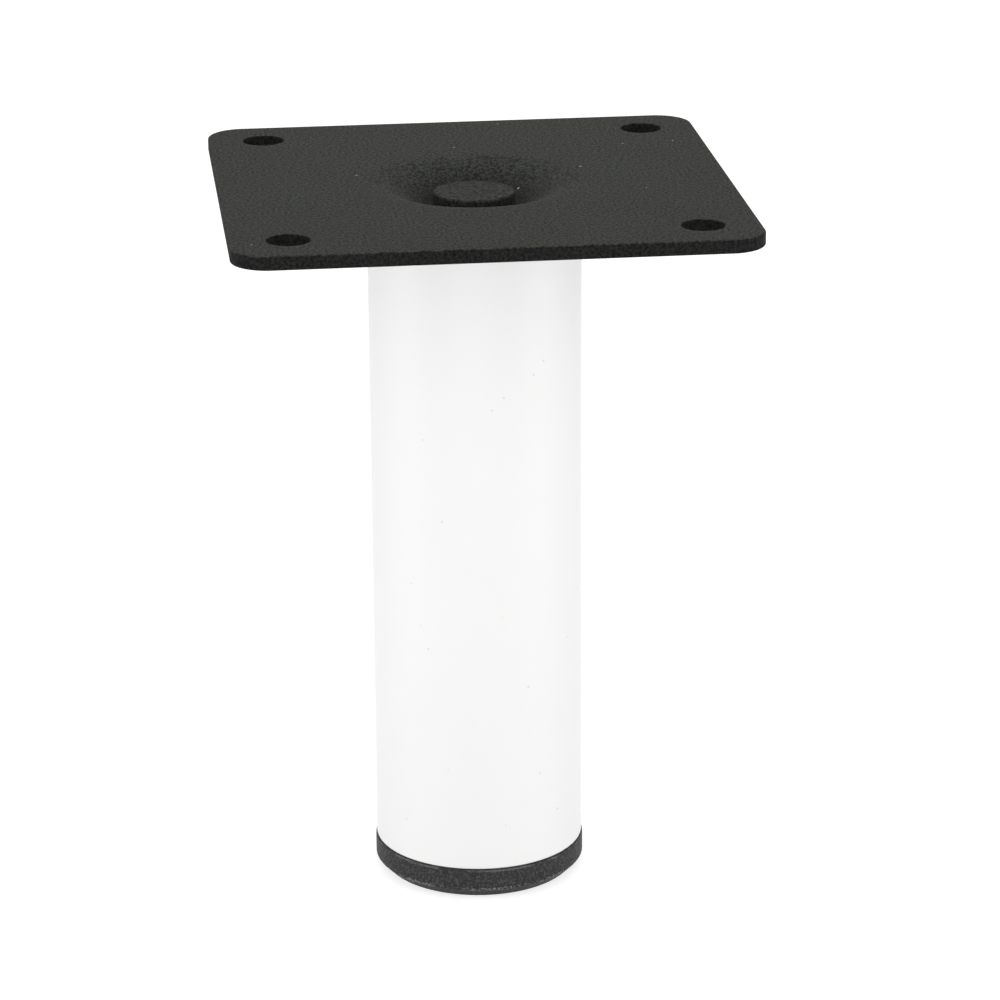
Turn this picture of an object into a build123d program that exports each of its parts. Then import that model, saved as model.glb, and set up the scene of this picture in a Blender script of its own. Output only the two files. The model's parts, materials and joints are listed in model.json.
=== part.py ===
from build123d import *
import os
from math import atan2, cos, degrees, radians, sin, sqrt, tan

# A screw-on furniture leg: a square plate with a pressed dish, a stud fixed in the dish, a round tube that
# screws up onto the stud, and a push-in cap for its foot.
# It stands on the floor at Z = 0, upright, with the tube's axis on Z.

# Driving dimensions, in millimetres

leg_height = 130.0  # floor to the mounting face

# Mounting plate, stamped from sheet steel
plate_side = 90.0
plate_thickness = 2.5
plate_corner_radius = 6.5
plate_edge_chamfer = 0.4  # round the upper edge, where the punch goes in
screw_edge_distance = 10.0  # centre of a screw hole to the plate's side
screw_hole_diameter = 7.4

# Dish in the middle of the plate, which centres the tube and sinks the stud's head
dish_overhang = 1.0  # how far the dish's mouth reaches past the tube's outside
dish_rim_radius = 13.0  # bend at the mouth, on the upper face
dish_floor_radius = 2.0  # bend into the floor, on the upper face
dish_floor_margin = 0.9  # flat floor left around the stud's head

# Stud, fixed in the dish and coated with the plate
stud_diameter = 8.0
stud_head_diameter = 14.5
stud_head_height = 2.5
stud_head_recess = 1.75  # mounting face down to the top of the head
stud_head_chamfer = 0.35
stud_hole_clearance = 0.1  # on the radius
stud_end_length = 2.5  # left showing under the nut
stud_end_chamfer = 0.9

# Tube
tube_diameter = 38.0
tube_wall = 1.2
tube_end_chamfer = 0.3  # outside the lower end, the one that shows
tube_seat_clearance = 0.05  # between the tube's mouth and the dish

# Disc and nut fixed inside the top of the tube, which take the stud
disc_thickness = 3.0
disc_clearance = 0.05  # on the radius, in the tube's bore
disc_gap = 0.5  # dish to disc, so that the tube's mouth pulls up tight first
nut_width = 13.0  # across the flats
nut_height = 6.5
nut_corner_angle = 30.0  # degrees, how the corners are turned off
nut_bore_clearance = 0.05  # on the radius

# Foot cap, moulded in one piece with its plug
foot_height = 6.0  # floor to the tube's lower end
foot_overhang = 0.2  # how far the wall stands out past the tube
foot_bevel_height = 2.0
foot_bevel_width = 2.0
foot_lip_chamfer = 0.4
foot_floor_thickness = 3.0
plug_length = 16.0  # above the tube's lower end
plug_wall = 2.0
plug_rib_count = 6
plug_rib_width = 1.6
plug_rib_depth = 1.2  # how far a crush rib stands out from the plug
plug_rib_stop = 2.0  # top of a rib down from the plug's end
plug_rib_chamfer = 0.6
plug_clearance = 0.05  # on the radius, in the tube's bore

# Limits
edge_share = 0.4  # most of a wall's thickness that one broken edge may take
bend_share = 0.95  # most of the dish's room that its two bends may take
pick_tolerance = 0.001  # how near a height an edge has to lie

# Worked out from the driving dimensions

tube_radius = tube_diameter / 2
bore_radius = tube_radius - tube_wall
screw_pitch = plate_side - 2 * screw_edge_distance
plate_edge = min(plate_edge_chamfer, edge_share * plate_thickness)

# Dish: two bends of the sheet, joined by the straight flank that is tangent to both
mouth_radius = tube_radius + dish_overhang
floor_flat_radius = stud_head_diameter / 2 + dish_floor_margin
dish_width = mouth_radius - floor_flat_radius
dish_depth = stud_head_recess + stud_head_height
radii_without_flank = (dish_width**2 + dish_depth**2) / (2 * dish_depth)
rim_radius = min(dish_rim_radius, bend_share * radii_without_flank - dish_floor_radius)
both_radii = rim_radius + dish_floor_radius
flank_length = sqrt(dish_width**2 + (both_radii - dish_depth) ** 2 - both_radii**2)
flank_angle = atan2(dish_width, both_radii - dish_depth) - atan2(flank_length, both_radii)
under_radius = rim_radius - plate_thickness
rim_centre_height = leg_height - rim_radius
dish_floor_height = leg_height - dish_depth


def dish_underside(radius):
    """Height of the dish's underside at a distance from the axis, on the rim's bend or on the flank."""
    run = mouth_radius - radius
    bend_run = under_radius * sin(flank_angle)
    if run <= bend_run:
        return rim_centre_height + sqrt(under_radius**2 - run**2)
    return rim_centre_height + under_radius * cos(flank_angle) - (run - bend_run) * tan(flank_angle)


# Tube: its mouth meets the dish's underside at the bore
tube_top = dish_underside(bore_radius) - tube_seat_clearance
tube_edge = min(tube_end_chamfer, edge_share * tube_wall)

# Stud, disc and nut, from the dish's floor down
stud_radius = stud_diameter / 2
stud_hole_radius = stud_radius + stud_hole_clearance
disc_top = dish_floor_height - plate_thickness - disc_gap
nut_top = disc_top - disc_thickness
nut_bottom = nut_top - nut_height
nut_cone_radius = nut_width / 2 + nut_height / tan(radians(nut_corner_angle))
stud_tip = nut_bottom - stud_end_length

# Foot cap: its plug is held in the bore by the tips of its ribs
foot_radius = tube_radius + foot_overhang
plug_top = foot_height + plug_length
rib_top = plug_top - plug_rib_stop
rib_radius = bore_radius - plug_clearance
plug_radius = rib_radius - plug_rib_depth
plug_bore_radius = plug_radius - plug_wall


def widest_edges(piece, height):
    """The widest of a piece's round edges at a height, all that share the radius."""
    round_edges = piece.edges().filter_by(GeomType.CIRCLE)
    level = round_edges.filter_by_position(Axis.Z, height - pick_tolerance, height + pick_tolerance)
    return level.group_by(SortBy.RADIUS)[-1]


# Mounting plate

with BuildPart() as mounting_plate:
    with BuildSketch(Plane.XY.offset(leg_height)):
        RectangleRounded(plate_side, plate_side, plate_corner_radius)
        Circle(mouth_radius, mode=Mode.SUBTRACT)
        with GridLocations(screw_pitch, screw_pitch, 2, 2):
            Circle(screw_hole_diameter / 2, mode=Mode.SUBTRACT)
    extrude(amount=-plate_thickness)
    upper_face = mounting_plate.faces().sort_by(Axis.Z)[-1]
    chamfer(upper_face.outer_wire().edges(), length=plate_edge)
    with BuildSketch(Plane.XZ):
        with BuildLine():
            rim = JernArc((mouth_radius, leg_height), (-1, 0), rim_radius, degrees(flank_angle))
            flank = Line(rim @ 1, (rim @ 1) + (rim % 1) * flank_length)
            bend = JernArc(flank @ 1, flank % 1, dish_floor_radius, -degrees(flank_angle))
            Line(bend @ 1, (stud_hole_radius, dish_floor_height))
            offset(amount=plate_thickness, side=Side.LEFT)
        make_face()
    revolve(axis=Axis.Z)

# Stud with a plain round head

with BuildPart() as plate_stud:
    with BuildSketch(Plane.XY.offset(dish_floor_height)):
        Circle(stud_head_diameter / 2)
    extrude(amount=stud_head_height)
    chamfer(plate_stud.edges().group_by(Axis.Z)[-1], length=stud_head_chamfer)
    with BuildSketch(Plane.XY.offset(dish_floor_height)):
        Circle(stud_radius)
    extrude(amount=stud_tip - dish_floor_height)
    chamfer(plate_stud.edges().group_by(Axis.Z)[0], length=stud_end_chamfer)

# Tube

with BuildPart() as leg_tube:
    with BuildSketch(Plane.XY.offset(foot_height)):
        Circle(tube_radius)
        Circle(bore_radius, mode=Mode.SUBTRACT)
    extrude(amount=tube_top - foot_height)
    chamfer(widest_edges(leg_tube, foot_height), length=tube_edge)

# Disc in the top of the tube

with BuildPart() as insert_disc:
    with BuildSketch(Plane.XY.offset(disc_top)):
        Circle(bore_radius - disc_clearance)
    extrude(amount=-disc_thickness)
    with Locations((0, 0, disc_top)):
        Hole(stud_hole_radius)

# Nut under the disc, with its corners turned off at the lower end

with BuildPart() as weld_nut:
    with BuildSketch(Plane.XY.offset(nut_top)):
        RegularPolygon(nut_width / 2, 6, major_radius=False)
        Circle(stud_radius + nut_bore_clearance, mode=Mode.SUBTRACT)
    extrude(amount=-nut_height)
    with BuildSketch(Plane.XZ):
        with BuildLine():
            Polyline(
                (0, nut_top),
                (nut_cone_radius, nut_top),
                (nut_width / 2, nut_bottom),
                (0, nut_bottom),
                close=True,
            )
        make_face()
    revolve(axis=Axis.Z, mode=Mode.INTERSECT)

# Foot cap: a bevelled sole, a wall just wider than the tube, and a hollow plug with crush ribs

with BuildPart() as foot_cap:
    with BuildSketch(Plane.XZ):
        with BuildLine():
            Polyline(
                (0, 0),
                (foot_radius - foot_bevel_width, 0),
                (foot_radius, foot_bevel_height),
                (foot_radius, foot_height),
                (plug_radius, foot_height),
                (plug_radius, plug_top),
                (plug_bore_radius, plug_top),
                (plug_bore_radius, foot_floor_thickness),
                (0, foot_floor_thickness),
                close=True,
            )
        make_face()
    revolve(axis=Axis.Z)
    chamfer(widest_edges(foot_cap, foot_height), length=foot_lip_chamfer)
    with BuildSketch(Plane.XY.offset(foot_height)):
        with PolarLocations(0, plug_rib_count):
            Rectangle(2 * rib_radius, plug_rib_width, align=(Align.MIN, Align.CENTER))
        Circle(rib_radius, mode=Mode.INTERSECT)
        Circle(plug_radius - plug_wall / 2, mode=Mode.SUBTRACT)
    extrude(amount=rib_top - foot_height)
    chamfer(widest_edges(foot_cap, rib_top), length=plug_rib_chamfer)

# One file for each piece

os.makedirs("parts", exist_ok=True)
pieces = {
    "mounting_plate": mounting_plate,
    "plate_stud": plate_stud,
    "leg_tube": leg_tube,
    "insert_disc": insert_disc,
    "weld_nut": weld_nut,
    "foot_cap": foot_cap,
}
for name, piece in pieces.items():
    piece.part.label = name
    export_step(piece.part, f"parts/{name}.step")
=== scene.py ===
"""A screw-on furniture leg: a black steel plate with a pressed dish, a white tube and a black foot."""

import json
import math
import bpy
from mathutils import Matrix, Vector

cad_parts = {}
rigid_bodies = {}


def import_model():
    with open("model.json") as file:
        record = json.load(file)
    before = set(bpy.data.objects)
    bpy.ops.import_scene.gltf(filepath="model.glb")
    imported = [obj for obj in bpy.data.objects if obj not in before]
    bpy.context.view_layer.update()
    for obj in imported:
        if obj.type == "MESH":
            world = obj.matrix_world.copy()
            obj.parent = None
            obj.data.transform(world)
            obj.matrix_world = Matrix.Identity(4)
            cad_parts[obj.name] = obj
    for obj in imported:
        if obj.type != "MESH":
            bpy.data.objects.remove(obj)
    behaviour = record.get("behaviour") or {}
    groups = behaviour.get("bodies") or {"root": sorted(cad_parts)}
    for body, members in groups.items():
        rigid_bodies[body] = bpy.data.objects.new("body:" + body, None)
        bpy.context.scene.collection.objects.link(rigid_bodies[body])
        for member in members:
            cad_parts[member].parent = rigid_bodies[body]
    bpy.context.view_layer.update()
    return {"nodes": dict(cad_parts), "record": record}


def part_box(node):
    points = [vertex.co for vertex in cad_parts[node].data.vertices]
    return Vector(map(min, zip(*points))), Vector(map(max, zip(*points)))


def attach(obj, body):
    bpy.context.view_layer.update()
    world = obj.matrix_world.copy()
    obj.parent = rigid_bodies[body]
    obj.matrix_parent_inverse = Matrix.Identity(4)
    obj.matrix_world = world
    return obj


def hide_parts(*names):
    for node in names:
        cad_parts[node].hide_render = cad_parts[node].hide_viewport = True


bl_info = {
    "name": "Furniture Leg",
    "version": (1, 0, 0),
    "blender": (4, 5, 0),
    "location": "View3D > Sidebar > Leg",
    "description": "Models and finishes the pieces of a screw-on furniture leg around its CAD frame",
    "category": "Object",
}

import bmesh
import bpy
from bpy.props import FloatProperty, FloatVectorProperty, IntProperty, PointerProperty
from mathutils import Matrix, Quaternion, Vector

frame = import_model()

# Shared values

MM = 0.001
NEAR = 1e-6  # metres, within which two places are the same
UP = Vector((0, 0, 1))
WHITE = (1.0, 1.0, 1.0, 1.0)
BODY = "root"

# What the frame says

PLATE_LOW, PLATE_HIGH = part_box("mounting_plate")
STUD_LOW, STUD_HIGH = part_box("plate_stud")
TUBE_LOW, TUBE_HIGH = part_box("leg_tube")
FOOT_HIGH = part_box("foot_cap")[1]
MOUNTS = {mount["name"]: mount["dims"] for mount in frame["record"]["mounts"]}
SCREW_HOLES = MOUNTS["screw_holes"]

# How finely round forms are modelled

HARD_EDGE = math.radians(35)  # from this turn on, an edge is shaded sharp
ROUND_STEPS = 192  # round the tube, the foot and the dish
HEAD_STEPS = 128
HOLE_STEPS = 64
CORNER_STEPS = 20
BEND_STEPS = 12
EDGE_STEPS = 6
THREAD_STEPS = 48

# Forms that are the same on every such leg

THREAD_FLANK = math.radians(30)  # between a flank of the thread and a line square to its axis
BEVEL_TURN = math.radians(45)  # by which the foot's outline turns at both ends of its bevel

# Black coat of the plate and stud

MOST_NOISE = (0.3, 0.7)  # between which nearly all of a noise lies
SAND_GRAIN = 0.5 * MM
PATCH_GRAIN = 1.6 * MM
PATCH_RISE = 0.5  # height of the patches, as a share of the sand's
PLATE_CLOUD = 12.0 * MM
DARKEST_COAT = 0.24  # where nothing lightens the coat, as a share of its colour
SAND_LIGHT = 1.1  # what the sand, the patches and the clouds add to that at most
PATCH_LIGHT = 0.25
CLOUD_LIGHT = 0.15
PLATE_UNEVEN = 0.12  # spread of the roughness
# The dust film is dust and painted light: it lightens faces that look up, and where it fades out down in
# the dish it leaves painted shade.
LIT_FILM_FADE = 0.9 * MM  # height over which the first part of the dust film and painted light comes in, above the painted shade at the dish's floor
FIRST_LIT_FILM = 0.68  # that part, as a share of the full film
LIT_FILM_DELAY = 0.5 * MM  # height from where the film begins to where the rest of it comes in
SPECK_SPACING = 10.0 * MM
SPECK_SHARE = 0.14  # of the places for specks, how many have one
SPECK_RADIUS = 0.13 * MM
SPECK_SPREAD = 0.17 * MM  # by which the largest speck's radius is more
SPECK_UPWARD = 0.8  # least upward part of a face's normal for specks to lie on it

# White coat of the tube

PEEL_GRAIN = 0.8 * MM
TUBE_UNEVEN = 0.04
TUBE_CLOUD = 25.0 * MM
TUBE_LEVELS = (0.992, 1.008)  # darkest and lightest, as shares of the colour
NIB_SPACING = 5.0 * MM
NIB_RADIUS = 0.2 * MM

# Plastic of the foot

MOULD_GRAIN = 0.3 * MM
FOOT_CLOUD = 5.0 * MM
FOOT_LEVELS = (0.7, 1.3)
FOOT_UNEVEN = 0.16
FLECK_GRAIN = 0.4 * MM
FLECK_NOISE = (0.44, 0.66)  # between which flecks come in
FLECK_STRENGTH = 0.22
RUB_GRAIN = 0.4 * MM
RUB_NOISE = (0.42, 0.58)
RUB_MATT = 0.12  # what rubbing adds to the roughness
RUB_AND_HIGHLIGHT_CORE = 0.05 * MM  # to each side of an edge, where the arris's rubbing and the lip's painted highlight are at their strongest
ARRIS_RUB = 0.5 * MM  # to each side of the arris, as far as rubbing reaches
ARRIS_CLOUD = (0.4, 0.6)  # cloudiness between which the rubbing of the arris comes in
# The lip's band is a painted highlight: a light line where the rounded lip would catch the light.
LIP_HIGHLIGHT_DROP = 0.3 * MM  # from the top of the lip to the middle of its painted highlight
LIP_HIGHLIGHT_REACH = 0.22 * MM
LIP_HIGHLIGHT_CLOUD = (0.35, 0.6)
LIP_HIGHLIGHT_STRENGTH = 0.4

# Steel of the disc and nut

MARK_GRAIN = 0.9 * MM
MARK_STRETCH = (1.0, 1.0, 14.0)  # finer upwards, as turning marks are
MARK_DEPTH = 0.006 * MM
STEEL_UNEVEN = 0.2
STAIN_GRAIN = 5.0 * MM
STEEL_LEVELS = (0.75, 1.1)


def length(name, description, default):
    """A size in metres."""
    return FloatProperty(
        name=name, description=description, default=default, min=0, unit="LENGTH", precision=5
    )


def share(name, description, default):
    """A share from nothing to all."""
    return FloatProperty(
        name=name, description=description, default=default, min=0, max=1, subtype="FACTOR"
    )


def colour(name, description, default):
    """A colour, in linear light."""
    return FloatVectorProperty(
        name=name, description=description, default=default, size=3, min=0, max=1, subtype="COLOR"
    )


def angle(name, description, default):
    """An angle, given in degrees and kept in radians."""
    return FloatProperty(
        name=name, description=description, default=math.radians(default), subtype="ANGLE"
    )


def brightness(name, description, default):
    """The radiance of a light, where 1 lights a white surface that it surrounds to white."""
    return FloatProperty(name=name, description=description, default=default, min=0)


class PlateSizes(bpy.types.PropertyGroup):
    """Sizes of the mounting plate and its dish"""

    side: length("Side", "Side of the square plate", PLATE_HIGH.x - PLATE_LOW.x)
    thickness: length("Thickness", "Thickness of the sheet", 2.5 * MM)
    corner_radius: length("Corner radius", "Radius of the plate's four corners", 6.5 * MM)
    edge_radius: length("Upper edge radius", "Roll-over round the upper edge", 0.45 * MM)
    burr_radius: length("Lower edge radius", "Rounding round the lower edge", 0.3 * MM)
    screw_pitch: length("Screw pitch", "From one screw hole to the next", SCREW_HOLES["spacing_x_mm"] * MM)
    screw_radius: length("Screw hole radius", "Radius of a screw hole", SCREW_HOLES["hole_r_mm"] * MM)
    screw_rim: length("Screw hole rim", "Rounding of a screw hole's rims", 0.25 * MM)
    dish_overhang: length("Dish overhang", "How far the dish's mouth reaches past the tube", 1.0 * MM)
    dish_rim_radius: length("Dish rim radius", "Bend at the dish's mouth, on the upper face", 13.0 * MM)
    dish_floor_radius: length("Dish floor radius", "Bend at the dish's floor, on the upper face", 2.0 * MM)
    dish_floor_margin: length("Dish floor margin", "Flat floor left around the stud's head", 0.9 * MM)


class StudSizes(bpy.types.PropertyGroup):
    """Sizes of the stud that is fixed in the dish"""

    diameter: length("Diameter", "Diameter of the shank", 8.0 * MM)
    hole_clearance: length("Hole clearance", "Between the shank and the dish's hole", 0.1 * MM)
    edge_radius: length("Head edge radius", "Rounding of the head's upper edge", 0.45 * MM)
    end_chamfer: length("End chamfer", "Chamfer at the shank's end", 0.9 * MM)
    thread_pitch: length("Thread pitch", "Rise of the thread in one turn", 1.25 * MM)
    thread_depth: length("Thread depth", "From the thread's crest to its root", 0.75 * MM)
    thread_runout: length("Thread runout", "Plain shank left under the plate", 1.5 * MM)


class TubeSizes(bpy.types.PropertyGroup):
    """Sizes of the tube"""

    wall: length("Wall", "Thickness of the tube's wall", 1.2 * MM)
    edge_radius: length("Edge radius", "Rounding of the coated ends", 0.35 * MM)


class FootSizes(bpy.types.PropertyGroup):
    """Sizes of the foot cap and its plug"""

    bevel: length("Bevel", "Width and height of the bevel round the sole", 2.0 * MM)
    sole_radius: length("Sole edge radius", "Rounding between the sole and the bevel", 0.7 * MM)
    arris_radius: length("Arris radius", "Rounding between the bevel and the wall", 0.35 * MM)
    lip_radius: length("Lip radius", "Rounding of the lip under the tube", 0.5 * MM)
    floor: length("Floor", "Thickness of the sole", 3.0 * MM)
    plug_wall: length("Plug wall", "Thickness of the plug's wall", 2.0 * MM)
    plug_edge_radius: length("Plug edge radius", "Rounding of the plug's upper rim", 0.4 * MM)
    plug_clearance: length("Plug clearance", "Between the ribs and the tube's bore", 0.05 * MM)
    rib_count: IntProperty(name="Ribs", description="Number of crush ribs on the plug", default=6, min=1)
    rib_width: length("Rib width", "Width of a crush rib", 1.6 * MM)
    rib_depth: length("Rib depth", "How far a crush rib stands out from the plug", 1.2 * MM)
    rib_stop: length("Rib stop", "From the top of a rib to the plug's end", 2.0 * MM)
    rib_chamfer: length("Rib chamfer", "Lead at the top of a rib", 0.6 * MM)


class LegFinishes(bpy.types.PropertyGroup):
    """Colours and surfaces of the leg"""

    plate_colour: colour("Plate coat", "Black coat of the plate and stud", (0.0135, 0.0142, 0.0132))
    # The coat under dust and painted light: lighter on faces that look up and high in the dish, while below
    # the low height the dish keeps painted shade.
    lit_film_colour: colour("Dust film", "Black coat under a thin film of dust", (0.0478, 0.0503, 0.0440))
    lit_film_low: length("Dust film low", "Height at which the dust film begins", STUD_HIGH.z - 2.8 * MM)
    lit_film_high: length("Dust film high", "Height from which the dust film is full", STUD_HIGH.z + 0.75 * MM)
    plate_roughness: share("Plate roughness", "How matt the black coat is", 0.68)
    plate_gloss: share("Plate gloss", "How strongly the black coat reflects", 0.03)
    plate_texture: length("Plate texture", "Depth of the black coat's sandy texture", 0.05 * MM)
    dust_colour: colour("Dust", "Specks that have settled on the plate", (0.36, 0.36, 0.34))
    tube_colour: colour("Tube coat", "White coat of the tube", (0.86, 0.86, 0.857))
    tube_roughness: share("Tube roughness", "How matt the white coat is", 0.33)
    tube_gloss: share("Tube gloss", "How strongly the white coat reflects", 0.4)
    tube_texture: length("Tube texture", "Depth of the white coat's orange peel", 0.006 * MM)
    nib_colour: colour("Nibs", "Grit caught in the white coat", (0.7, 0.7, 0.695))
    foot_colour: colour("Foot plastic", "Black plastic of the foot", (0.0225, 0.0225, 0.0228))
    foot_roughness: share("Foot roughness", "How matt the foot's plastic is", 0.62)
    foot_gloss: share("Foot gloss", "How strongly the foot's plastic reflects", 0.15)
    foot_texture: length("Foot texture", "Depth of the moulded grain", 0.03 * MM)
    # also painted along the lip as a painted highlight
    scuff_and_highlight_colour: colour("Scuffs", "Rubbed plastic along the foot's edges", (0.21, 0.21, 0.21))
    steel_colour: colour("Steel", "Uncoated steel of the disc and nut", (0.52, 0.51, 0.49))
    steel_roughness: share("Steel roughness", "How matt the uncoated steel is", 0.4)


class StageSettings(bpy.types.PropertyGroup):
    """Camera, lights and floor"""

    azimuth: angle("Azimuth", "How far the camera stands round from the front", -6.589)
    elevation: angle("Elevation", "How far the camera looks down", 19.087)
    roll: angle("Roll", "Tilt of the camera about its own line of sight", -0.346)
    distance: length("Distance", "From the camera to the point that it looks at", 700 * MM)
    aim: FloatVectorProperty(
        name="Aim",
        description="Point that the camera looks at",
        default=(4.22 * MM, -0.49 * MM, 70.53 * MM),
        size=3,
        subtype="TRANSLATION",
        unit="LENGTH",
    )
    lens: FloatProperty(name="Lens", description="Focal length, in millimetres", default=139.2, min=1)
    front_light: brightness("Front light", "Softbox in front of the leg", 4.05)
    front_side: angle("Front light side", "How far round from the front it stands", -10)
    left_light: brightness("Left light", "Softbox to the left of the leg", 3.1)
    left_side: angle("Left light side", "How far round from the front it stands", -85)
    right_light: brightness("Right light", "Softbox to the right of the leg", 3.35)
    right_side: angle("Right light side", "How far round from the front it stands", 70)
    back_light: brightness("Back light", "Softbox behind the leg and above it", 1.4)
    back_side: angle("Back light side", "How far round from the front it hangs", 175)
    back_lift: angle("Back light lift", "How far up the softbox behind the leg hangs", 65)
    ambient_light: brightness("Ambient light", "Light from all round", 0.55)
    box_distance: length("Softbox distance", "From the leg to each softbox", 600 * MM)
    box_width: length("Softbox width", "Width of each softbox", 420 * MM)
    box_height: length("Softbox height", "Height of each softbox", 240 * MM)
    floor_side: length("Floor side", "Side of the floor", 6000 * MM)
    floor_colour: colour("Floor", "Colour of the floor", (0.8, 0.8, 0.8))
    floor_glow: brightness("Floor glow", "What the floor adds for the camera, so that it shows white", 0.62)


# Modelling by hand


def start_piece(name):
    """Adds an empty piece at the origin and opens it in edit mode."""
    bpy.ops.object.select_all(action="DESELECT")
    bpy.ops.object.add(type="MESH", enter_editmode=True)
    bpy.ops.mesh.select_mode(type="VERT")
    piece = bpy.context.object
    piece.name = name
    return piece


def select_points(test):
    """Selects the points of the open mesh that pass a test, and the edges and faces between them."""
    mesh = bpy.context.object.data
    points = bmesh.from_edit_mesh(mesh)
    bpy.ops.mesh.select_all(action="DESELECT")
    for point in points.verts:
        point.select = test(point)
    points.select_flush_mode()
    bmesh.update_edit_mesh(mesh)


def at_height(height):
    """A test for points at a height."""
    return lambda point: abs(point.co.z - height) < NEAR


class Section:
    """An outline drawn point by point in the XZ plane beside an upright axis, and then turned about it."""

    def __init__(self, radius, height, axis=(0, 0)):
        self.axis = Vector((*axis, 0))
        self.start = (radius, height)
        self.at = self.place(radius, height)
        bpy.ops.mesh.select_all(action="DESELECT")
        bpy.ops.mesh.primitive_plane_add(size=MM, location=self.at)
        bpy.ops.mesh.merge(type="CENTER")  # into the outline's first point

    def place(self, radius, height):
        """A point of the section's plane."""
        return self.axis + Vector((radius, 0, height))

    def line(self, *points):
        """Straight edges from point to point."""
        for radius, height in points:
            goal = self.place(radius, height)
            bpy.ops.mesh.extrude_region_move(TRANSFORM_OT_translate={"value": goal - self.at})
            self.at = goal

    def bend(self, radius, height, turn, steps=BEND_STEPS):
        """A round edge about a centre. A positive turn goes from up towards the axis."""
        centre = self.place(radius, height)
        bpy.ops.mesh.spin(steps=steps, angle=turn, center=centre, axis=(0, 1, 0))
        self.at = centre + Matrix.Rotation(-turn, 3, "Y") @ (self.at - centre)

    def close(self):
        """An edge from the last point to the first."""
        self.line(self.start)
        bpy.ops.mesh.select_linked()
        bpy.ops.mesh.remove_doubles(threshold=NEAR)

    def soften(self, radius, height, rounding, steps=EDGE_STEPS):
        """Rounds a corner that lies at a point, to a reach along both of its edges."""
        corner = self.place(radius, height)
        select_points(lambda point: (point.co - corner).length < NEAR)
        bpy.ops.mesh.bevel(offset=rounding, segments=steps, affect="VERTICES")

    def turn(self, steps=ROUND_STEPS):
        """Turns the outline all the way round, closes its seam and poles, and leaves it selected."""
        bpy.ops.mesh.select_linked()
        bpy.ops.mesh.spin(steps=steps, angle=math.tau, center=self.axis, axis=UP)
        bpy.ops.mesh.select_linked()
        bpy.ops.mesh.remove_doubles(threshold=NEAR)


def close_piece(piece):
    """Merges doubles, turns all faces outwards and leaves edit mode."""
    bpy.ops.mesh.select_all(action="SELECT")
    bpy.ops.mesh.remove_doubles(threshold=NEAR)
    bpy.ops.mesh.normals_make_consistent(inside=False)
    bpy.ops.object.mode_set(mode="OBJECT")
    return piece


def combine(piece, tool, operation):
    """Cuts a tool out of a piece, or joins it on, and clears away the tool and any slivers."""
    bpy.ops.object.select_all(action="DESELECT")
    piece.select_set(True)
    bpy.context.view_layer.objects.active = piece
    bpy.ops.object.modifier_add(type="BOOLEAN")
    step = piece.modifiers[-1]
    step.object = tool
    step.operation = operation
    step.solver = "EXACT"
    bpy.ops.object.modifier_apply(modifier=step.name)
    bpy.data.objects.remove(tool)
    bpy.ops.object.mode_set(mode="EDIT")
    bpy.ops.mesh.select_all(action="SELECT")
    bpy.ops.mesh.dissolve_degenerate(threshold=NEAR)
    close_piece(piece)


def smooth(piece):
    """Shades round forms smooth and keeps flat faces flat."""
    bpy.ops.object.shade_smooth_by_angle(angle=HARD_EDGE)
    bpy.ops.object.modifier_add(type="WEIGHTED_NORMAL")
    step = piece.modifiers[-1]
    step.keep_sharp = True
    bpy.ops.object.modifier_apply(modifier=step.name)


def hand_over(piece, node, material):
    """Gives a finished piece its material, and puts it on the frame in place of its node."""
    smooth(piece)
    piece.data.materials.append(material)
    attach(piece, BODY)
    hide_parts(node)


# Shader maths


class Value:
    """A node's output. Ordinary operators on it add Math nodes to its tree."""

    def __init__(self, shader, socket):
        self.shader = shader
        self.socket = socket

    def out(self, name):
        """Another output of the same node."""
        return Value(self.shader, self.socket.node.outputs[name])

    def math(self, operation, first, second):
        """A Math node on two values or numbers."""
        return self.shader.add("ShaderNodeMath", {"operation": operation}, {0: first, 1: second})

    def __add__(self, other):
        return self.math("ADD", self, other)

    def __radd__(self, other):
        return self.math("ADD", other, self)

    def __sub__(self, other):
        return self.math("SUBTRACT", self, other)

    def __rsub__(self, other):
        return self.math("SUBTRACT", other, self)

    def __mul__(self, other):
        return self.math("MULTIPLY", self, other)

    def __rmul__(self, other):
        return self.math("MULTIPLY", other, self)

    def __gt__(self, other):
        return self.math("GREATER_THAN", self, other)

    def __lt__(self, other):
        return self.math("LESS_THAN", self, other)


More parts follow.
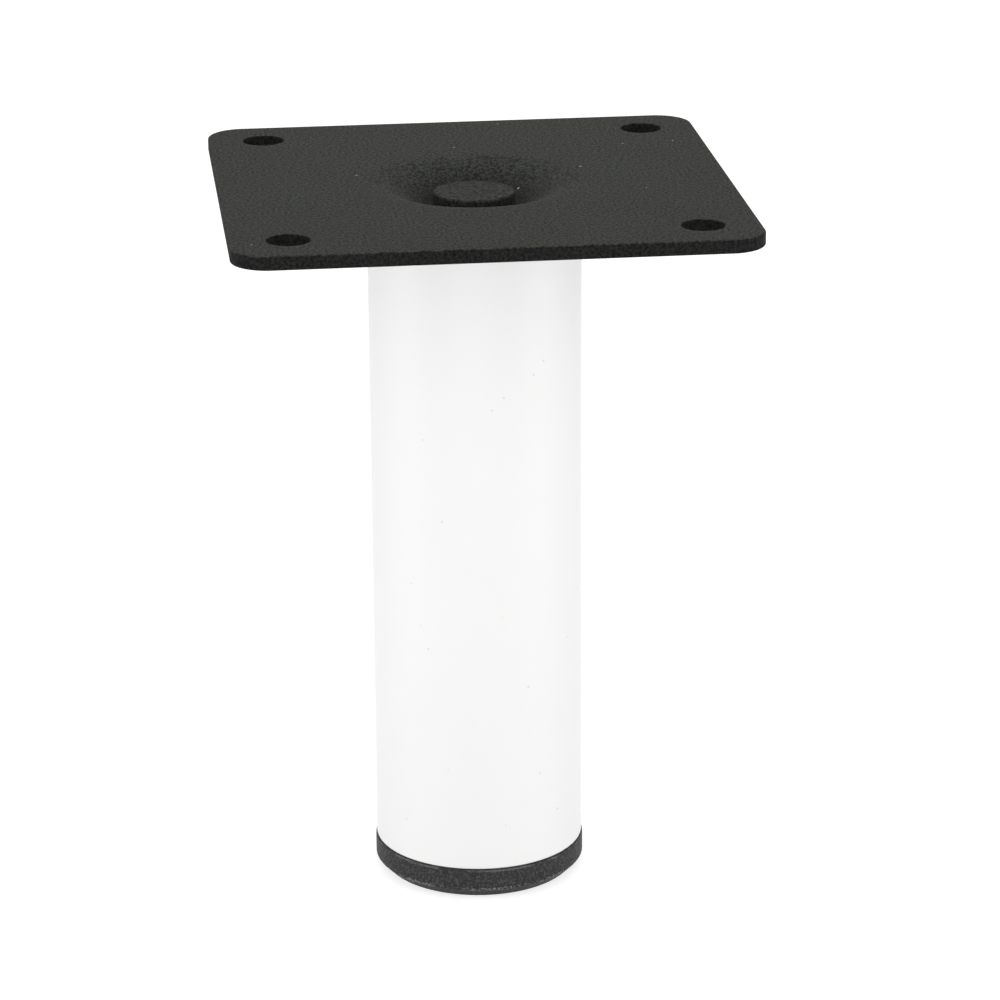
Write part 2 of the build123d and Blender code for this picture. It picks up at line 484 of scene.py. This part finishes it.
class Shader:
    """A node tree in the making."""

    def __init__(self, tree):
        self.tree = tree
        self.tree.nodes.clear()

    def add(self, kind, settings=None, inputs=None, output=0):
        """Adds a node, sets it up, sets or links its inputs, and gives one of its outputs."""
        node = self.tree.nodes.new(kind)
        for name, setting in (settings or {}).items():
            setattr(node, name, setting)
        for name, value in (inputs or {}).items():
            if isinstance(value, Value):
                self.tree.links.new(value.socket, node.inputs[name])
            else:
                node.inputs[name].default_value = value
        return Value(self, node.outputs[output]) if node.outputs else None

    def place(self):
        """Where a point lies on the object, in metres."""
        return self.add("ShaderNodeTexCoord", output="Object")

    def noise(self, place, grain, detail=2):
        """Cloudy noise from 0 to 1 whose blotches are about as large as the grain, in metres."""
        inputs = {"Vector": place, "Scale": 1 / grain, "Detail": detail}
        return self.add("ShaderNodeTexNoise", None, inputs)

    def scatter(self, place, spacing, dimensions):
        """How far the nearest of many scattered spots lies, in metres, and that spot's random colour."""
        inputs = {"Vector": place, "Scale": 1 / spacing}
        nearest = self.add("ShaderNodeTexVoronoi", {"voronoi_dimensions": dimensions}, inputs)
        return nearest * spacing, nearest.out("Color")

    def height(self, vector):
        """The upright part of a vector."""
        return self.add("ShaderNodeSeparateXYZ", None, {"Vector": vector}, output="Z")

    def ramp(self, value, low, high):
        """A smooth rise from 0 to 1 while a value goes from low to high."""
        inputs = {"Value": value, "From Min": low, "From Max": high}
        return self.add("ShaderNodeMapRange", {"interpolation_type": "SMOOTHSTEP"}, inputs)

    def blend(self, amount, first, second):
        """A colour that goes from the first to the second as the amount goes from 0 to 1."""
        inputs = {0: amount, 6: first, 7: second}  # a Mix node keeps its colours in these sockets
        return self.add("ShaderNodeMix", {"data_type": "RGBA"}, inputs, output=2)

    def mottle(self, noise, tint, levels):
        """A colour that goes from its darkest to its lightest level as a noise goes from 0 to 1."""
        return self.blend(noise, *(paint(tint, level) for level in levels))

    def bump(self, height, depth):
        """A normal for a surface whose height goes from 0 to 1 over a depth in metres."""
        return self.add("ShaderNodeBump", None, {"Height": height, "Distance": depth})

    def mix(self, amount, first, second):
        """A shader that goes from the first to the second as the amount goes from 0 to 1."""
        return self.add("ShaderNodeMixShader", None, {0: amount, 1: first, 2: second})

    def seen(self):
        """1 for rays that show the backdrop: straight, in a gloss or through something clear."""
        path = self.add("ShaderNodeLightPath", output="Is Camera Ray")
        return path + path.out("Is Glossy Ray") + path.out("Is Transmission Ray")


def new_material(name):
    """An empty material and its shader."""
    material = bpy.data.materials.new(name)
    material.use_nodes = True
    return material, Shader(material.node_tree)


def surface(shader, inputs):
    """Ends a material with its Principled shader."""
    skin = shader.add("ShaderNodeBsdfPrincipled", None, inputs)
    shader.add("ShaderNodeOutputMaterial", None, {"Surface": skin})


def paint(tint, level=1.0):
    """A colour's three parts, lighter or darker, with full alpha."""
    return (*(part * level for part in tint), 1.0)


def vary(middle, spread, noise):
    """A value that goes through a spread about its middle as a noise goes from 0 to 1."""
    return middle - spread / 2 + spread * noise


# Finishes


def black_coat(name, finishes, steepest, flattest):
    """Sand-textured black powder coat under a film of dust and painted light, which thins out down in the
    dish as painted shade.

    The steepest and the flattest are upward parts of a face's normal: below the first a face has no film,
    and from the second on it has all of it.
    """
    material, shader = new_material(name)
    place = shader.place()
    sand = shader.ramp(shader.noise(place, SAND_GRAIN), *MOST_NOISE)
    patches = shader.ramp(shader.noise(place, PATCH_GRAIN, 3), *MOST_NOISE)
    cloud = shader.noise(place, PLATE_CLOUD, 3)
    upward = shader.height(shader.add("ShaderNodeTexCoord", output="Normal"))
    height = shader.height(place)
    # painted shade: the lighter layer fades out towards the dish's floor and low on the stud's head
    first = shader.ramp(height, finishes.lit_film_low, finishes.lit_film_low + LIT_FILM_FADE)
    rest = shader.ramp(height, finishes.lit_film_low + LIT_FILM_DELAY, finishes.lit_film_high)
    # painted light: faces that look up get the lighter layer, as light from above would make them
    lit_film = shader.ramp(upward, steepest, flattest) * (FIRST_LIT_FILM * first + (1 - FIRST_LIT_FILM) * rest)
    coat = shader.blend(lit_film, paint(finishes.plate_colour), paint(finishes.lit_film_colour))
    shade = DARKEST_COAT + SAND_LIGHT * sand + PATCH_LIGHT * patches + CLOUD_LIGHT * cloud
    coat = shader.add("ShaderNodeVectorMath", {"operation": "SCALE"}, {0: coat, "Scale": shade})
    away, tint = shader.scatter(place, SPECK_SPACING, "2D")
    chance = shader.add("ShaderNodeSeparateColor", None, {"Color": tint})
    speck = away < SPECK_RADIUS + SPECK_SPREAD * chance.out("Green")
    dust = speck * (chance > 1 - SPECK_SHARE) * (upward > SPECK_UPWARD)
    surface(
        shader,
        {
            "Base Color": shader.blend(dust, coat, paint(finishes.dust_colour)),
            "Roughness": vary(finishes.plate_roughness, PLATE_UNEVEN, patches),
            "Specular IOR Level": finishes.plate_gloss,
            "Normal": shader.bump(sand + PATCH_RISE * patches, finishes.plate_texture),
        },
    )
    return material


def white_coat(finishes):
    """Satin white powder coat with a faint orange peel and a few nibs of grit."""
    material, shader = new_material("satin_white_coat")
    place = shader.place()
    peel = shader.noise(place, PEEL_GRAIN, 1)
    cloud = shader.noise(place, TUBE_CLOUD, 1)
    coat = shader.mottle(cloud, finishes.tube_colour, TUBE_LEVELS)
    away, _ = shader.scatter(place, NIB_SPACING, "3D")
    surface(
        shader,
        {
            "Base Color": shader.blend(away < NIB_RADIUS, coat, paint(finishes.nib_colour)),
            "Roughness": vary(finishes.tube_roughness, TUBE_UNEVEN, peel),
            "Specular IOR Level": finishes.tube_gloss,
            "Normal": shader.bump(peel, finishes.tube_texture),
        },
    )
    return material


def foot_plastic(finishes, arris, lip):
    """Moulded black plastic with a speckled grain, rubbed at the height of its arris, with a painted
    highlight along its lip.
    """
    material, shader = new_material("moulded_black_plastic")
    place = shader.place()
    grain = shader.noise(place, MOULD_GRAIN)
    flecks = shader.noise(place, FLECK_GRAIN, 4)
    rubs = shader.noise(place, RUB_GRAIN, 3)
    cloud = shader.noise(place, FOOT_CLOUD, 3)
    height = shader.height(place)
    scuffs_and_highlight = FLECK_STRENGTH * shader.ramp(flecks, *FLECK_NOISE)
    for edge, reach, wear_and_highlight in (
        (arris, ARRIS_RUB, shader.ramp(rubs, *RUB_NOISE) * shader.ramp(cloud, *ARRIS_CLOUD)),
        # painted highlight: a light band along the lip, where its rounding would catch the light
        (lip - LIP_HIGHLIGHT_DROP, LIP_HIGHLIGHT_REACH, LIP_HIGHLIGHT_STRENGTH * shader.ramp(cloud, *LIP_HIGHLIGHT_CLOUD)),
    ):
        away = shader.add("ShaderNodeMath", {"operation": "ABSOLUTE"}, {0: height - edge})
        scuffs_and_highlight = scuffs_and_highlight + (1 - shader.ramp(away, RUB_AND_HIGHLIGHT_CORE, reach)) * wear_and_highlight
    plastic = shader.mottle(cloud, finishes.foot_colour, FOOT_LEVELS)
    surface(
        shader,
        {
            "Base Color": shader.blend(scuffs_and_highlight, plastic, paint(finishes.scuff_and_highlight_colour)),
            "Roughness": vary(finishes.foot_roughness, FOOT_UNEVEN, cloud) + RUB_MATT * scuffs_and_highlight,
            "Specular IOR Level": finishes.foot_gloss,
            "Normal": shader.bump(grain, finishes.foot_texture),
        },
    )
    return material


def bare_steel(finishes):
    """Uncoated steel with fine turning marks and a little staining."""
    material, shader = new_material("stained_steel")
    place = shader.place()
    turned = shader.add("ShaderNodeMapping", None, {"Vector": place, "Scale": MARK_STRETCH})
    marks = shader.noise(turned, MARK_GRAIN, 3)
    stain = shader.noise(place, STAIN_GRAIN, 4)
    surface(
        shader,
        {
            "Base Color": shader.mottle(stain, finishes.steel_colour, STEEL_LEVELS),
            "Metallic": 1.0,
            "Roughness": vary(finishes.steel_roughness, STEEL_UNEVEN, marks),
            "Normal": shader.bump(marks, MARK_DEPTH),
        },
    )
    return material


# Pieces


class LEG_OT_add_plate(bpy.types.Operator):
    """Add the mounting plate with its screw holes and pressed dish"""

    bl_idname = "leg.add_plate"
    bl_label = "Add Mounting Plate"

    def execute(self, context):
        sizes = context.scene.plate_sizes
        self.top = PLATE_HIGH.z
        self.bottom = self.top - sizes.thickness
        piece = start_piece("coated_plate")
        self.add_rim(sizes)
        self.add_screw_walls(sizes)
        self.add_dish(sizes, context.scene.stud_sizes)
        for height in (self.top, self.bottom):
            select_points(lambda point: point.is_boundary and abs(point.co.z - height) < NEAR)
            bpy.ops.mesh.fill(use_beauty=True)
        close_piece(piece)
        # painted light: the plate's faces that look up get the lighter coat, its edges and steep dish walls
        # keep the darker one
        coat = black_coat("plate_coat", context.scene.finishes, steepest=0.4, flattest=0.96)
        hand_over(piece, "mounting_plate", coat)
        return {"FINISHED"}

    def add_rim(self, sizes):
        """The plate's outline with round corners and edges, open above and below."""
        bpy.ops.mesh.primitive_plane_add(size=sizes.side, location=(0, 0, self.bottom))
        bpy.ops.mesh.bevel(offset=sizes.corner_radius, segments=CORNER_STEPS, affect="VERTICES")
        bpy.ops.mesh.extrude_region_move(TRANSFORM_OT_translate={"value": UP * sizes.thickness})
        for height, rounding in ((self.top, sizes.edge_radius), (self.bottom, sizes.burr_radius)):
            select_points(at_height(height))
            bpy.ops.mesh.bevel(offset=rounding, segments=EDGE_STEPS, affect="EDGES")
            select_points(at_height(height))
            bpy.ops.mesh.delete(type="ONLY_FACE")

    def add_screw_walls(self, sizes):
        """The walls of the four screw holes, one modelled and three copied from corner to corner."""
        corner = sizes.screw_pitch / 2
        rim = sizes.screw_rim
        wide = sizes.screw_radius + rim
        wall = Section(wide, self.top, axis=(corner, corner))
        wall.bend(wide, self.top - rim, math.pi / 2, EDGE_STEPS)
        wall.line((sizes.screw_radius, self.bottom + rim))
        wall.bend(wide, self.bottom + rim, math.pi / 2, EDGE_STEPS)
        wall.turn(HOLE_STEPS)
        for step in ((-1, 0, 0), (0, -1, 0), (1, 0, 0)):
            move = Vector(step) * sizes.screw_pitch
            bpy.ops.mesh.duplicate_move(TRANSFORM_OT_translate={"value": move})

    def add_dish(self, sizes, stud):
        """The pressed dish: two bends of the sheet and the straight flank that is tangent to both."""
        sheet = sizes.thickness
        mouth = TUBE_HIGH.x + sizes.dish_overhang
        floor = PLATE_LOW.z + sheet
        flat = STUD_HIGH.x + sizes.dish_floor_margin
        hole = stud.diameter / 2 + stud.hole_clearance
        width = mouth - flat
        both = sizes.dish_rim_radius + sizes.dish_floor_radius
        drop = both - (self.top - floor)
        flank = math.sqrt(width**2 + drop**2 - both**2)
        slope = math.atan2(width, drop) - math.atan2(flank, both)
        rim = (mouth, self.top - sizes.dish_rim_radius)
        bend = (flat, floor + sizes.dish_floor_radius)
        along = flank * Vector((math.cos(slope), math.sin(slope)))
        dish = Section(mouth, self.top)
        dish.bend(*rim, slope)
        dish.line((dish.at.x - along.x, dish.at.z - along.y))
        dish.bend(*bend, -slope)
        dish.line((hole, floor), (hole, floor - sheet), (flat, floor - sheet))
        dish.bend(*bend, slope)
        dish.line((dish.at.x + along.x, dish.at.z + along.y))
        dish.bend(*rim, -slope)
        dish.turn()


class LEG_OT_add_stud(bpy.types.Operator):
    """Add the threaded stud, whose plain round head lies in the dish"""

    bl_idname = "leg.add_stud"
    bl_label = "Add Plate Stud"

    def execute(self, context):
        sizes = context.scene.stud_sizes
        floor = PLATE_LOW.z + context.scene.plate_sizes.thickness
        head = STUD_HIGH.x
        shank = sizes.diameter / 2
        tip = STUD_LOW.z
        piece = start_piece("coated_stud")
        outline = Section(0, STUD_HIGH.z)
        outline.line((head, STUD_HIGH.z), (head, floor), (shank, floor))
        outline.line((shank, tip + sizes.end_chamfer), (shank - sizes.end_chamfer, tip), (0, tip))
        outline.soften(head, STUD_HIGH.z, sizes.edge_radius)
        outline.turn(HEAD_STEPS)
        close_piece(piece)
        combine(piece, self.thread_groove(sizes, shank, tip), "DIFFERENCE")
        # painted light: the lighter coat covers the head's shaded side as well, all but low down in the
        # dish
        coat = black_coat("stud_coat", context.scene.finishes, steepest=-0.6, flattest=0.0)
        hand_over(piece, "plate_stud", coat)
        return {"FINISHED"}

    def thread_groove(self, sizes, shank, tip):
        """The groove of the thread: a pointed section wound up the shank from below its tip."""
        pitch = sizes.thread_pitch
        top = PLATE_LOW.z - sizes.thread_runout
        turns = math.ceil((top - tip) / pitch)
        start = top - turns * pitch
        proud = shank + sizes.thread_depth / 4  # past the shank, so that the cut opens outwards
        half = (proud - shank + sizes.thread_depth) * math.tan(THREAD_FLANK)
        piece = start_piece("thread_groove")
        groove = Section(shank - sizes.thread_depth, start)
        groove.line((proud, start + half), (proud, start - half))
        groove.close()
        bpy.ops.object.mode_set(mode="OBJECT")
        bpy.ops.object.modifier_add(type="SCREW")
        winding = piece.modifiers[-1]
        winding.screw_offset = pitch
        winding.iterations = turns
        winding.steps = THREAD_STEPS
        winding.render_steps = THREAD_STEPS
        bpy.ops.object.modifier_apply(modifier=winding.name)
        bpy.ops.object.mode_set(mode="EDIT")
        bpy.ops.mesh.select_all(action="SELECT")
        bpy.ops.mesh.fill_holes(sides=0)
        return close_piece(piece)


class LEG_OT_add_tube(bpy.types.Operator):
    """Add the white tube"""

    bl_idname = "leg.add_tube"
    bl_label = "Add Leg Tube"

    def execute(self, context):
        sizes = context.scene.tube_sizes
        outside = TUBE_HIGH.x
        bore = outside - sizes.wall
        corners = ((outside, TUBE_LOW.z), (outside, TUBE_HIGH.z), (bore, TUBE_HIGH.z), (bore, TUBE_LOW.z))
        piece = start_piece("coated_tube")
        wall = Section(*corners[0])
        wall.line(*corners[1:])
        wall.close()
        for radius, height in corners:
            wall.soften(radius, height, sizes.edge_radius)
        wall.turn()
        close_piece(piece)
        hand_over(piece, "leg_tube", white_coat(context.scene.finishes))
        return {"FINISHED"}


class LEG_OT_add_foot(bpy.types.Operator):
    """Add the foot cap with its ribbed plug"""

    bl_idname = "leg.add_foot"
    bl_label = "Add Foot Cap"

    def execute(self, context):
        sizes = context.scene.foot_sizes
        bore = TUBE_HIGH.x - context.scene.tube_sizes.wall
        self.rib_radius = bore - sizes.plug_clearance
        self.plug = self.rib_radius - sizes.rib_depth
        self.lip = TUBE_LOW.z
        wall = FOOT_HIGH.x
        sole = wall - sizes.bevel
        hollow = self.plug - sizes.plug_wall
        top = FOOT_HIGH.z
        shallow = math.tan(BEVEL_TURN / 2)  # a rounding's reach along each edge, for a radius of 1
        piece = start_piece("moulded_foot")
        outline = Section(0, 0)
        outline.line((sole, 0), (wall, sizes.bevel), (wall, self.lip), (self.plug, self.lip))
        outline.line((self.plug, top), (hollow, top), (hollow, sizes.floor), (0, sizes.floor))
        outline.soften(sole, 0, sizes.sole_radius * shallow)
        outline.soften(wall, sizes.bevel, sizes.arris_radius * shallow)
        outline.soften(wall, self.lip, sizes.lip_radius)
        outline.soften(self.plug, top, sizes.plug_edge_radius)
        outline.soften(hollow, top, sizes.plug_edge_radius)
        outline.turn()
        close_piece(piece)
        combine(piece, self.ribs(sizes, top), "UNION")
        plastic = foot_plastic(context.scene.finishes, sizes.bevel, self.lip)
        hand_over(piece, "foot_cap", plastic)
        return {"FINISHED"}

    def ribs(self, sizes, top):
        """The crush ribs, one modelled and the others copied round the plug."""
        root = self.plug - sizes.plug_wall / 2  # sunk into the plug and the sole, so that they join
        low = self.lip - sizes.plug_wall / 2
        high = top - sizes.rib_stop
        piece = start_piece("ribs")
        bpy.ops.mesh.primitive_cube_add(
            size=1,
            location=((root + self.rib_radius) / 2, 0, (low + high) / 2),
            scale=(self.rib_radius - root, sizes.rib_width, high - low),
        )
        select_points(lambda point: point.co.z > high - NEAR and point.co.x > self.rib_radius - NEAR)
        bpy.ops.mesh.bevel(offset=sizes.rib_chamfer, segments=1, affect="EDGES")
        bpy.ops.mesh.select_all(action="SELECT")
        bpy.ops.mesh.spin(steps=sizes.rib_count, angle=math.tau, dupli=True, center=(0, 0, 0), axis=UP)
        return close_piece(piece)


class LEG_OT_finish_insert(bpy.types.Operator):
    """Finish the disc and nut inside the tube in bare steel"""

    bl_idname = "leg.finish_insert"
    bl_label = "Finish Disc and Nut"

    def execute(self, context):
        steel = bare_steel(context.scene.finishes)
        for node in ("insert_disc", "weld_nut"):
            for slot in frame["nodes"][node].material_slots:
                slot.material = steel
        return {"FINISHED"}


class LEG_OT_add_stage(bpy.types.Operator):
    """Add the camera, the lights and the floor"""

    bl_idname = "leg.add_stage"
    bl_label = "Add Stage"

    def execute(self, context):
        settings = context.scene.stage
        context.scene.view_settings.view_transform = "Standard"
        bpy.ops.object.select_all(action="DESELECT")
        self.add_camera(context.scene, settings)
        self.add_softboxes(settings)
        self.add_world(context.scene, settings)
        self.add_floor(settings)
        return {"FINISHED"}

    def direction(self, side, lift):
        """Which way a place lies from the leg: its angles round from the front and up from the floor."""
        return Matrix.Rotation(side, 3, "Z") @ Matrix.Rotation(-lift, 3, "X") @ Vector((0, -1, 0))

    def add_camera(self, scene, settings):
        """The camera, at the photograph's angle."""
        back = self.direction(settings.azimuth, settings.elevation)
        turn = back.to_track_quat("Z", "Y") @ Quaternion(UP, settings.roll)
        bpy.ops.object.camera_add(
            location=Vector(settings.aim) + settings.distance * back, rotation=turn.to_euler()
        )
        scene.camera = bpy.context.object
        scene.camera.data.lens = settings.lens

    def add_softboxes(self, settings):
        """Three softboxes on the floor, which light the tube up to the plate, and one above and behind."""
        low = math.asin(settings.box_height / 2 / settings.box_distance)
        boxes = {
            "front_softbox": (settings.front_side, low, settings.front_light),
            "left_softbox": (settings.left_side, low, settings.left_light),
            "right_softbox": (settings.right_side, low, settings.right_light),
            "back_softbox": (settings.back_side, settings.back_lift, settings.back_light),
        }
        for name, (side, lift, radiance) in boxes.items():
            out = self.direction(side, lift)
            turn = out.to_track_quat("Z", "Y").to_euler()
            bpy.ops.object.light_add(type="AREA", location=settings.box_distance * out, rotation=turn)
            box = bpy.context.object
            box.name = name
            box.visible_camera = False
            box.data.shape = "RECTANGLE"
            box.data.size = settings.box_width
            box.data.size_y = settings.box_height
            box.data.energy = radiance * math.pi * settings.box_width * settings.box_height

    def add_world(self, scene, settings):
        """Even light from all round, and white wherever the backdrop shows."""
        scene.world = bpy.data.worlds.new("studio")
        scene.world.use_nodes = True
        shader = Shader(scene.world.node_tree)
        ambient, backdrop = (
            shader.add("ShaderNodeBackground", None, {"Color": WHITE, "Strength": strength})
            for strength in (settings.ambient_light, 1.0)
        )
        light = shader.mix(shader.seen(), ambient, backdrop)
        shader.add("ShaderNodeOutputWorld", None, {"Surface": light})

    def add_floor(self, settings):
        """A pale floor that shows white apart from the leg's shadow, and clear from below."""
        bpy.ops.mesh.primitive_plane_add(size=settings.floor_side)
        floor = bpy.context.object
        floor.name = "floor"
        material, shader = new_material("pale_floor")
        pale = shader.add("ShaderNodeBsdfDiffuse", None, {"Color": paint(settings.floor_colour)})
        glow = shader.add("ShaderNodeEmission", None, {"Color": WHITE, "Strength": settings.floor_glow})
        bright = shader.add("ShaderNodeAddShader", None, {0: pale, 1: glow})
        below = shader.add("ShaderNodeNewGeometry", output="Backfacing")
        clear = shader.add("ShaderNodeBsdfTransparent")
        upper = shader.mix(shader.seen(), pale, bright)
        shader.add("ShaderNodeOutputMaterial", None, {"Surface": shader.mix(below, upper, clear)})
        floor.data.materials.append(material)


class LEG_PT_panel(bpy.types.Panel):
    """The leg's pieces and settings in the 3D view's sidebar"""

    bl_idname = "LEG_PT_panel"
    bl_label = "Furniture Leg"
    bl_space_type = "VIEW_3D"
    bl_region_type = "UI"
    bl_category = "Leg"

    def draw(self, context):
        for operator in OPERATORS:
            self.layout.operator(operator.bl_idname)
        for name in GROUPS:
            box = self.layout.box()
            box.label(text=name.replace("_", " ").capitalize())
            group = getattr(context.scene, name)
            for setting in group.__annotations__:
                box.prop(group, setting)


GROUPS = {
    "plate_sizes": PlateSizes,
    "stud_sizes": StudSizes,
    "tube_sizes": TubeSizes,
    "foot_sizes": FootSizes,
    "finishes": LegFinishes,
    "stage": StageSettings,
}
OPERATORS = (
    LEG_OT_add_plate,
    LEG_OT_add_stud,
    LEG_OT_add_tube,
    LEG_OT_add_foot,
    LEG_OT_finish_insert,
    LEG_OT_add_stage,
)
CLASSES = (*GROUPS.values(), *OPERATORS, LEG_PT_panel)


def register():
    for item in CLASSES:
        bpy.utils.register_class(item)
    for name, group in GROUPS.items():
        setattr(bpy.types.Scene, name, PointerProperty(type=group))


def unregister():
    for name in GROUPS:
        delattr(bpy.types.Scene, name)
    for item in reversed(CLASSES):
        bpy.utils.unregister_class(item)


def main():
    """Builds the leg piece by piece and sets the stage."""
    register()
    bpy.ops.leg.add_plate()
    bpy.ops.leg.add_stud()
    bpy.ops.leg.add_tube()
    bpy.ops.leg.add_foot()
    bpy.ops.leg.finish_insert()
    bpy.ops.leg.add_stage()


if __name__ == "__main__":
    main()
